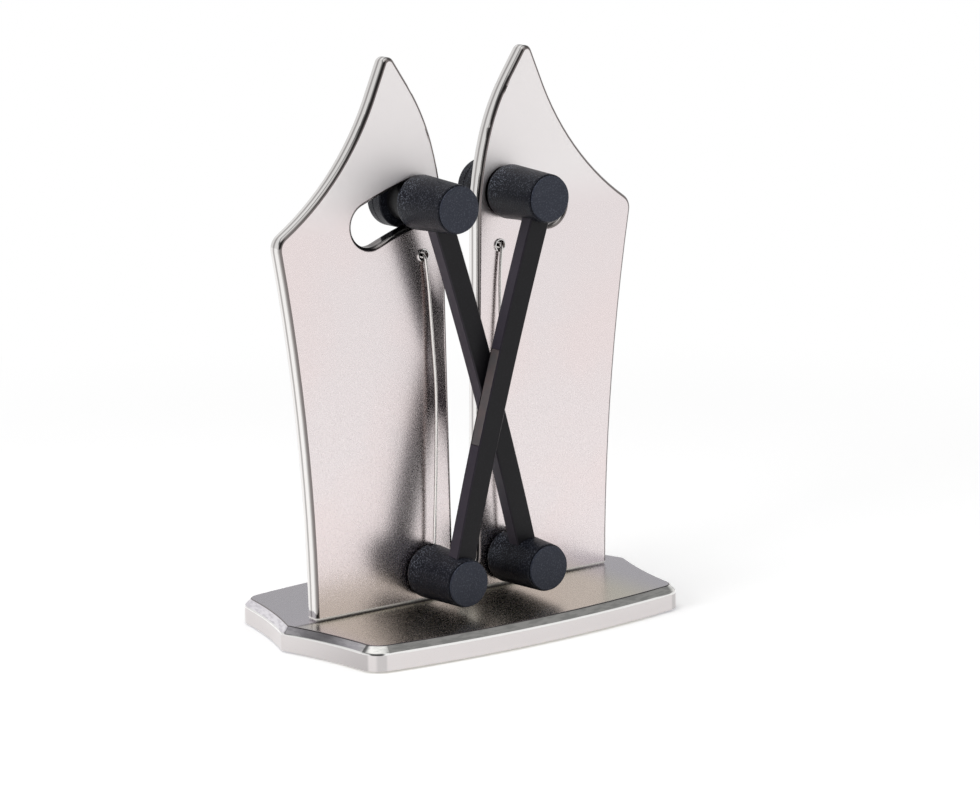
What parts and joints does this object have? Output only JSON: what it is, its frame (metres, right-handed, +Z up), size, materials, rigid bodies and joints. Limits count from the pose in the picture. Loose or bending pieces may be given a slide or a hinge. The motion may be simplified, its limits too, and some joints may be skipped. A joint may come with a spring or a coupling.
{
  "type": "knife sharpener",
  "caption": "Bench knife sharpener: notched upright plate on a low weighted base, with sprung arms that cross in front of it and carry hard strips to hone a blade drawn through.",
  "frame": {"origin": "bottom centre of the base, at the underside of its non-slip pad", "axes": "+Z up along the plate, +X to the right seen from the front, -Y towards the front where the arms are"},
  "size_m": [0.1204, 0.0762, 0.16],
  "materials": {
    "satin_nickel": "warm satin nickel, bright on bevels and rounded edges",
    "polished_nickel": "polished",
    "zinc_steel": "zinc plated",
    "spring_steel": "bright drawn wire",
    "hub_plastic": "fine-grained matte black",
    "cap_plastic": "fine-grained matte charcoal",
    "bar_plastic": "smooth satin black",
    "cover_plastic": "matte black",
    "nylon": "smooth black",
    "pad_rubber": "matte",
    "carbide": "ground hard metal, brown grey",
    "bronze": "turned"
  },
  "bodies": {
    "stand": {"base_shell": "satin_nickel", "base_weight": "zinc_steel", "bottom_cover": "cover_plastic", "non_slip_pad": "pad_rubber", "bottom_cover_screws": "zinc_steel", "face_plate": "satin_nickel", "plate_screws": "zinc_steel", "plate_screw_washers": "zinc_steel", "left_pivot_bolt": "zinc_steel", "right_pivot_bolt": "zinc_steel", "pivot_nuts": "zinc_steel", "pivot_nut_washers": "zinc_steel", "pivot_thrust_washers": "nylon", "left_pivot_cover": "hub_plastic", "right_pivot_cover": "hub_plastic", "left_wire_eyelet": "polished_nickel", "right_wire_eyelet": "polished_nickel", "left_spring": "spring_steel", "right_spring": "spring_steel"},
    "front_arm": {"front_arm_bar": "bar_plastic", "front_arm_carbide_strip": "carbide", "front_arm_pivot_hub": "hub_plastic", "front_arm_pivot_hub_cap": "cap_plastic", "front_arm_pivot_bush": "bronze", "front_arm_spring_cover": "hub_plastic", "front_arm_guide_hub": "hub_plastic", "front_arm_guide_hub_cap": "cap_plastic", "front_arm_guide_bolt": "zinc_steel", "front_arm_slot_sleeve": "nylon", "front_arm_rear_knob": "hub_plastic", "front_arm_rear_knob_lid": "hub_plastic", "front_arm_guide_washer": "zinc_steel", "front_arm_guide_nut": "zinc_steel"},
    "rear_arm": {"rear_arm_bar": "bar_plastic", "rear_arm_carbide_strip": "carbide", "rear_arm_pivot_hub": "hub_plastic", "rear_arm_pivot_hub_cap": "cap_plastic", "rear_arm_pivot_bush": "bronze", "rear_arm_spring_cover": "hub_plastic", "rear_arm_guide_hub": "hub_plastic", "rear_arm_guide_hub_cap": "cap_plastic", "rear_arm_guide_bolt": "zinc_steel", "rear_arm_slot_sleeve": "nylon", "rear_arm_rear_knob": "hub_plastic", "rear_arm_rear_knob_lid": "hub_plastic", "rear_arm_guide_washer": "zinc_steel", "rear_arm_guide_nut": "zinc_steel"}
  },
  "joints": [
    {"name": "front_arm_swing", "type": "hinge", "parent": "stand", "child": "front_arm", "pos_m": [-0.01372, 0, 0.0162], "axis": [0, 1, 0], "range_deg": [0, 8.4], "stiffness_Nm_per_rad": 0.35, "springref_deg": -5.73, "deforming": ["left_spring"]},
    {"name": "rear_arm_swing", "type": "hinge", "parent": "stand", "child": "rear_arm", "pos_m": [0.01372, 0, 0.0162], "axis": [0, -1, 0], "range_deg": [0, 8.4], "stiffness_Nm_per_rad": 0.35, "springref_deg": -5.73, "deforming": ["right_spring"]}
  ]
}
